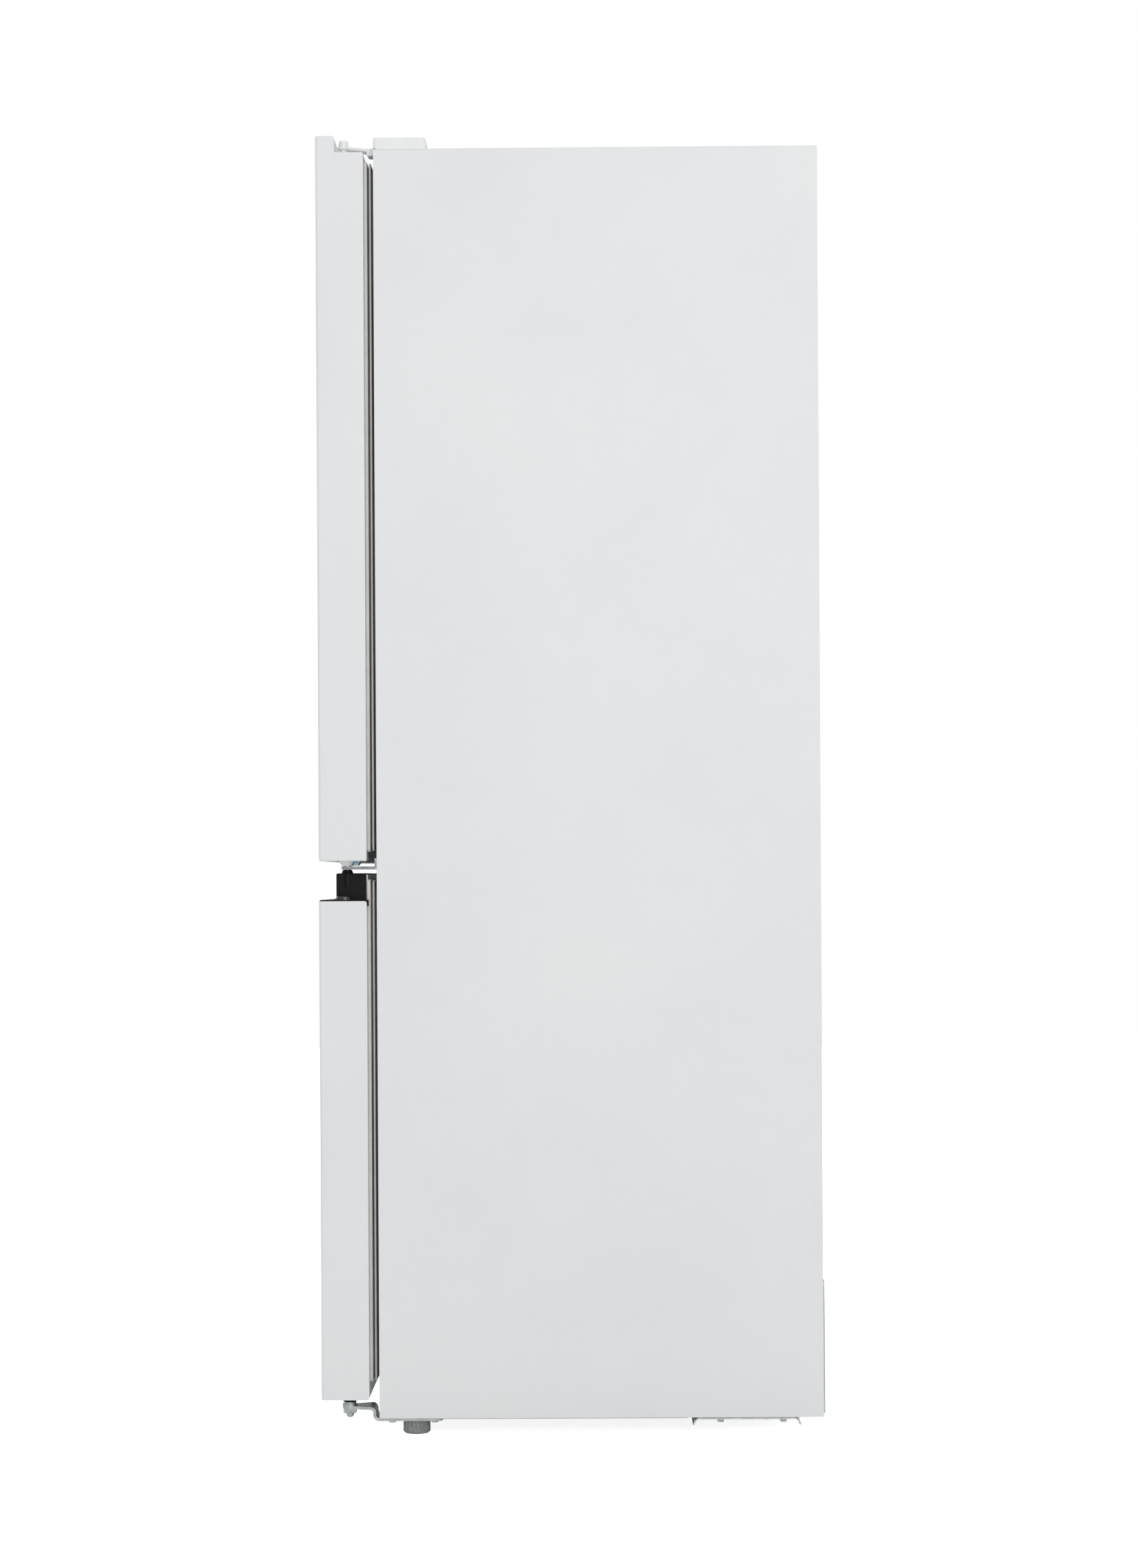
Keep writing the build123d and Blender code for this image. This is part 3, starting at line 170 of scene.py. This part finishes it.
floorPaper = {
    "shader": {"Roughness": 0.8},
    "plain": "#F4F4F3",
    "relief": {"mm": 2.5, "deep": 0.05},
    "glow": ((0.3, 0.86), (1.4, 1.2)),  # distance and added light
}


def seamlessPaper():
    # matt background paper; for the lens alone it glows with distance, so the floor runs out to white
    material = addMaterial("seamlessPaper", floorPaper)
    tree = material.node_tree
    shader = tree.nodes["Principled BSDF"]
    place = tree.nodes["Texture Coordinate"].outputs["Object"]
    (near, low), (far, high) = floorPaper["glow"]
    distance = addNode(tree, "ShaderNodeVectorMath", {"operation": "LENGTH"}, {0: place})
    ranges = {"From Min": near, "From Max": far, "To Min": low, "To Max": high}
    spread = addNode(tree, "ShaderNodeMapRange", ranges, {"Value": distance.outputs["Value"]})
    path = addNode(tree, "ShaderNodeLightPath")
    sources = {0: spread.outputs[0], 1: path.outputs["Is Camera Ray"]}
    seen = addNode(tree, "ShaderNodeMath", {"operation": "MULTIPLY"}, sources)
    shader.inputs["Emission Color"].default_value = (1, 1, 1, 1)
    tree.links.new(seen.outputs[0], shader.inputs["Emission Strength"])
    return material


def addFloor():
    bpy.ops.mesh.primitive_plane_add(size=studio["floorSize"], location=(0, 0, 0))
    floor = bpy.context.object
    floor.name = "floor"
    floor.data.materials.append(seamlessPaper())


spangle = {"crystalMm": 8, "waverMm": 11.11, "waverReachMm": 6}


def zincSpangle(tree, place):
    # zinc crystals with wavering edges, each with its own grey and shine
    waver = addNode(tree, "ShaderNodeTexNoise", {"Scale": 1000 / spangle["waverMm"], "Detail": 2}, {"Vector": place})
    reach = {"operation": "MULTIPLY_ADD", 1: [spangle["waverReachMm"] * mm] * 3}
    nudge = addNode(tree, "ShaderNodeVectorMath", reach, {0: waver.outputs["Color"], 2: place})
    size = {"Scale": 1000 / spangle["crystalMm"]}
    crystals = addNode(tree, "ShaderNodeTexVoronoi", size, {"Vector": nudge.outputs[0]})
    shade = addNode(tree, "ShaderNodeSeparateColor", links={"Color": crystals.outputs["Color"]})
    return {"colour": shade.outputs["Red"], "gloss": shade.outputs["Green"], "relief": crystals.outputs["Distance"]}


foamCellMm = 1.4


def foamCells(tree, place):
    cells = addNode(tree, "ShaderNodeTexVoronoi", {"Scale": 1000 / foamCellMm}, {"Vector": place})
    return {"relief": cells.outputs["Distance"]}


# "on" is the nodes each one goes on; sizes and depths are in mm, and stretch pulls the noise out along an axis
materials = {
    # precoated steel, roller painted: pale cool white with a fine dimple that softens its highlights
    "polyesterPaintedSteel": {
        "on": "cabinet_shell upper_door_skin lower_door_skin mullion_rail",
        "shader": {"Coat Weight": 0.08, "Coat Roughness": 0.3},
        "colour": {"mm": 240, "detail": 3, "shades": ("#DADCDE", "#DEE0E1")},
        "gloss": {"mm": 35, "roughness": (0.44, 0.54)},
        "relief": {"mm": 1.6, "detail": 1, "deep": 0.05},
    },
    # sprayed and baked: the same white, with a tighter orange peel on small brackets
    "powderCoatedSteel": {
        "on": "top_hinge_plate",
        "shader": {"Coat Weight": 0.3, "Coat Roughness": 0.15},
        "colour": {"mm": 30, "shades": ("#E3E4E5", "#E9EAEB")},
        "gloss": {"mm": 12, "roughness": (0.28, 0.4)},
        "relief": {"mm": 0.9, "detail": 1, "deep": 0.04},
    },
    # injection moulded ABS: spark-eroded grain, a touch warmer and less glossy than the paint
    "whiteMouldedAbs": {
        "on": "top_hinge_cover upper_door_top_cap upper_door_bottom_cap lower_door_bottom_cap shelf_trims "
        "temperature_knob",
        "shader": {"IOR": 1.54, "Subsurface Weight": 0.03, "Subsurface Radius": (0.002, 0.002, 0.0015)},
        "colour": {"mm": 60, "shades": ("#DEDFE0", "#E5E6E6")},
        "gloss": {"mm": 8, "roughness": (0.38, 0.5)},
        "relief": {"mm": 0.7, "detail": 1, "deep": 0.03},
    },
    # high-impact polystyrene drawn over a mould: glossy bluish white whose surface is never quite flat
    "vacuumFormedPolystyrene": {
        "on": "fridge_liner freezer_liner upper_door_liner lower_door_liner air_duct_panel control_housing "
        "evaporator_cover",
        "shader": {"IOR": 1.59},
        "colour": {"mm": 180, "detail": 1, "shades": ("#E2E6E8", "#EAEDEE")},
        "gloss": {"mm": 25, "roughness": (0.18, 0.3)},
        "relief": {"mm": 28, "detail": 1, "deep": 0.25},
    },
    # injection moulded in black: fine grain that greys the highlights, faint handling marks
    "blackMouldedAbs": {
        "on": "lower_door_grip_rail lower_door_bushes relay_cover drip_tray cord_gland evaporator_fan "
        "rear_roller_left rear_roller_right",
        "shader": {"IOR": 1.5, "Specular IOR Level": 0.15},
        "colour": {"mm": 18, "detail": 3, "shades": ("#080808", "#0F0F10")},
        "gloss": {"mm": 9, "detail": 4, "roughness": (0.3, 0.5)},
        "relief": {"mm": 0.6, "detail": 1, "deep": 0.02},
    },
    # black caps from a polished mould: mirror-like at the rim
    "polishedBlackAbs": {
        "on": "ledge_plugs",
        "shader": {"IOR": 1.54, "Coat Weight": 0.5},
        "colour": {"mm": 12, "shades": ("#0D0D0E", "#161617")},
        "gloss": {"mm": 6, "detail": 3, "roughness": (0.1, 0.2)},
        "relief": {"mm": 3, "detail": 1, "deep": 0.02},
    },
    # glass-filled nylon: mid grey with short pale fibres showing at the skin
    "greyMouldedNylon": {
        "on": "levelling_foot_left levelling_foot_right fan_motor",
        "shader": {"IOR": 1.53},
        "colour": {"mm": 1.2, "stretch": (1, 1, 0.25), "shades": ("#858687", "#A8A9AA"), "stops": (0.35, 0.75)},
        "gloss": {"mm": 5, "roughness": (0.45, 0.62)},
        "relief": {"mm": 0.8, "deep": 0.06},
    },
    # hot-dip galvanised sheet: a mosaic of greys, each crystal catching the light by itself
    "spangledGalvanisedSheet": {
        "on": "back_panel bottom_panel rear_cover",
        "shader": {"Metallic": 0.9},
        "pattern": zincSpangle,
        "colour": {"shades": ("#9DA1A4", "#B2B5B7"), "stops": (0.0, 1.0)},
        "gloss": {"roughness": (0.34, 0.52)},
        "relief": {"deep": 0.05},
    },
    # dipped and baked compressor paint: soft black gloss over the drawn shell
    "blackEnamelledSteel": {
        "on": "compressor",
        "shader": {"Coat Weight": 0.4, "Coat Roughness": 0.12},
        "colour": {"mm": 22, "detail": 3, "shades": ("#121213", "#1D1D1E")},
        "gloss": {"mm": 10, "roughness": (0.25, 0.42)},
        "relief": {"mm": 2.2, "detail": 1, "deep": 0.08},
    },
    # drawn and annealed tube: warm metal with brown tarnish in patches
    "drawnCopper": {
        "on": "refrigerant_tubes condenser_coil",
        "shader": {"Metallic": 1.0},
        "colour": {"mm": 16, "detail": 4, "shades": ("#8A4F35", "#C98262"), "stops": (0.35, 0.6)},
        "gloss": {"mm": 6, "detail": 3, "roughness": (0.22, 0.48)},
        "relief": {"mm": 1.5, "stretch": (1, 1, 0.2), "deep": 0.03},
    },
    # thin rolled fin stock: bright, with rolling lines
    "rolledAluminium": {
        "on": "evaporator_coil",
        "shader": {"Metallic": 1.0},
        "colour": {"mm": 20, "shades": ("#BDBFC1", "#D5D6D7")},
        "gloss": {"mm": 3, "detail": 3, "stretch": (1, 0.1, 1), "roughness": (0.22, 0.42)},
        "relief": {"mm": 1, "stretch": (1, 0.1, 1), "deep": 0.02},
    },
    # float glass, toughened, edges ground: clear with a slight green
    "temperedGlass": {
        "on": "glass_shelves",
        "shader": {"IOR": 1.5, "Roughness": 0.02, "Alpha": 0.3},
        "plain": "#C4DDD3",
        "relief": {"mm": 60, "detail": 1, "deep": 0.05},
    },
    # clear moulded polystyrene: faint flow lines and a cool tint
    "crystalPolystyrene": {
        "on": "crisper_drawer freezer_drawer_top freezer_drawer_middle freezer_drawer_bottom door_bin_low "
        "door_bin_middle door_bin_top",
        "shader": {"IOR": 1.59, "Alpha": 0.4},
        "plain": "#D3E4EC",
        "gloss": {"mm": 14, "detail": 3, "roughness": (0.06, 0.16)},
        "relief": {"mm": 18, "detail": 1, "stretch": (1, 1, 0.3), "deep": 0.12},
    },
    # blasted mould face: milky and diffusing, so the lamp shows as a soft patch
    "frostedPolypropylene": {
        "on": "light_lens",
        "shader": {"IOR": 1.49, "Transmission Weight": 0.4},
        "colour": {"mm": 25, "shades": ("#EDEFEF", "#F4F5F4")},
        "gloss": {"mm": 4, "roughness": (0.45, 0.6)},
        "relief": {"mm": 0.9, "detail": 1, "deep": 0.06},
    },
    # black moulded rubber: matt, with a bloom of grey
    "mouldedRubber": {
        "on": "compressor_grommets",
        "shader": {"IOR": 1.52},
        "colour": {"mm": 7, "detail": 4, "shades": ("#1C1C1C", "#2C2C2B")},
        "gloss": {"mm": 3, "roughness": (0.6, 0.8)},
        "relief": {"mm": 0.7, "deep": 0.05},
    },
    # foamed in place: straw coloured with fine open cells
    "polyurethaneFoam": {
        "on": "cabinet_foam upper_door_foam lower_door_foam",
        "shader": {"Roughness": 0.9},
        "pattern": foamCells,
        "colour": {"mm": 25, "detail": 3, "shades": ("#D9C68D", "#E6D7A6")},
        "relief": {"deep": 0.4},
    },
}

# electroplated steel: the passivation gives each its tint; the blue one's dark teal end is also painted shade for
# the stop under the door
zincPlates = {
    "clear": (
        ("#AAB1B1", "#CCCFCB"),
        "bottom_brackets hinge_pins screws compressor_base compressor_bolts rear_roller_brackets",
    ),
    "lilac": (("#9698A0", "#BABBC2"), "middle_hinge_plate"),
    # blue passivation on the door stop; its dark teal shade is painted shade for its place under the door
    "blueShaded": (("#4E7C8A", "#A9BCC2"), "upper_door_stop"),
}
for passivation, (shades, nodes) in zincPlates.items():
    # faint clouds in the chromate film, which on the blue one also carry painted shade, and fine drawing scratches
    materials[passivation + "ZincPlatedSteel"] = {
        "on": nodes,
        "shader": {"Metallic": 1.0},
        "colour": {"mm": 9, "detail": 3, "shades": shades},
        "gloss": {"mm": 2.5, "detail": 4, "roughness": (0.16, 0.4)},
        "relief": {"mm": 1.2, "stretch": (1, 0.15, 1), "deep": 0.02},
    }

# extruded soft PVC: silky grey on the crests; the fold faces get a darker grey-brown, which is painted shade with
# some dust
gasketVinyl = {"crest": ("#C6C5C3", "#D0CFCD"), "fold": ("#5C5856", "#716C69")}
for part, shades in gasketVinyl.items():
    # die lines run along its length
    materials["extrudedVinyl_" + part] = {
        "on": "",
        "shader": {"IOR": 1.52, "Sheen Weight": 0.15},
        "colour": {"mm": 30, "detail": 4, "shades": shades},
        "gloss": {"mm": 10, "detail": 3, "roughness": (0.42, 0.6)},
        "relief": {"mm": 0.9, "detail": 1, "stretch": (1, 1, 0.1), "deep": 0.03},
    }

bellows = {
    # depths are from the door, insets from the outer edge beside the hinge and at top and bottom
    "lobes": ((0.0, 4.5, 0.2, 0.2), (6.6, 9.2, 5.2, 1.1), (11.2, 13.2, 13.6, 2.8)),
    "grooves": ((4.7, 6.4, 12.0, 6.0), (9.4, 11.0, 20.0, 7.0)),
    "inner": ((13.1, 24.6, 12.4), (4.8, 24.8, 12.6), (4.4, 26.2, 12.9), (0.0, 26.2, 12.9)),
    "bulge": 1.1,
    "cornerRadius": 5.0,
    "lobeSteps": 8,
    "cornerSteps": 6,
    "sharpFrom": 50,  # degrees between faces
}


def bellowsProfile():
    # every point is its depth, its two insets and 1 in a fold, where the painted shade goes
    points = []
    for lobe, groove in zip(bellows["lobes"], bellows["grooves"] + (None,)):
        start, end, insetX, insetZ = lobe
        for i in range(bellows["lobeSteps"] + 1):
            turn = math.pi * i / bellows["lobeSteps"]
            depth = (start + end) / 2 - math.cos(turn) * (end - start) / 2
            sink = bellows["bulge"] * (1 - math.sin(turn))
            points.append((depth, insetX + sink, insetZ + sink, 0))
        if groove:
            points += [(depth, groove[2], groove[3], 1) for depth in groove[:2]]
    return points + [point + (0,) for point in bellows["inner"]]


def roundedLoop(left, right, low, high, y):
    radius = bellows["cornerRadius"] * mm
    corners = ((right, high, 0), (left, high, 90), (left, low, 180), (right, low, 270))
    loop = []
    for x, z, first in corners:
        centreX = x - math.copysign(radius, x)
        centreZ = z - radius if z == high else z + radius
        for i in range(bellows["cornerSteps"] + 1):
            turn = math.radians(first + 90 * i / bellows["cornerSteps"])
            loop.append((centreX + radius * math.cos(turn), y, centreZ + radius * math.sin(turn)))
    return loop


def smoothMesh(name, points, faces, surfaces):
    mesh = bpy.data.meshes.new(name)
    mesh.from_pydata(points, [], faces)
    work = bmesh.new()
    work.from_mesh(mesh)
    bmesh.ops.recalc_face_normals(work, faces=work.faces)
    work.to_mesh(mesh)
    work.free()
    for surface in surfaces:
        mesh.materials.append(surface)
    for face in mesh.polygons:
        face.use_smooth = True
    piece = bpy.data.objects.new(name, mesh)
    scene.collection.objects.link(piece)
    return piece


def sweepGasket(node, body):
    # one loop round the door for each point of the profile, joined into a closed ring
    low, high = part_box(node)
    profile = bellowsProfile()
    points = []
    for depth, insetX, insetZ, folded in profile:
        x, z = insetX * mm, insetZ * mm
        points += roundedLoop(low.x + x, high.x - x, low.z + z, high.z - z, low.y + depth * mm)
    size = len(points) // len(profile)
    faces = []
    inPaintedShadeFold = []
    for i in range(len(profile)):
        k = (i + 1) % len(profile)
        for j in range(size):
            m = (j + 1) % size
            faces.append((i * size + j, i * size + m, k * size + m, k * size + j))
            # faces beside a groove point take the fold material, whose darker colour is painted shade
            inPaintedShadeFold.append(max(profile[i][3], profile[k][3]))
    piece = smoothMesh(node + "_bellows", points, faces, [made["extrudedVinyl_crest"], made["extrudedVinyl_fold"]])
    for face, folded in zip(piece.data.polygons, inPaintedShadeFold):
        face.material_index = folded
    sharp = piece.modifiers.new("sharpEdges", "EDGE_SPLIT")
    sharp.split_angle = math.radians(bellows["sharpFrom"])
    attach(piece, body)
    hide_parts(node)


addCamera()
addLamps()
addWorld()
addFloor()
print("camera, lamps and floor placed")

made = {}
for name, look in materials.items():
    made[name] = addMaterial(name, look)
    for node in look["on"].split():
        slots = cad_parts[node].data.materials
        slots.clear()
        slots.append(made[name])
print(len(made), "materials laid on", sum(len(look["on"].split()) for look in materials.values()), "nodes")

for door in ("upper_door", "lower_door"):
    sweepGasket(door + "_gasket", door)
print("gaskets swept")
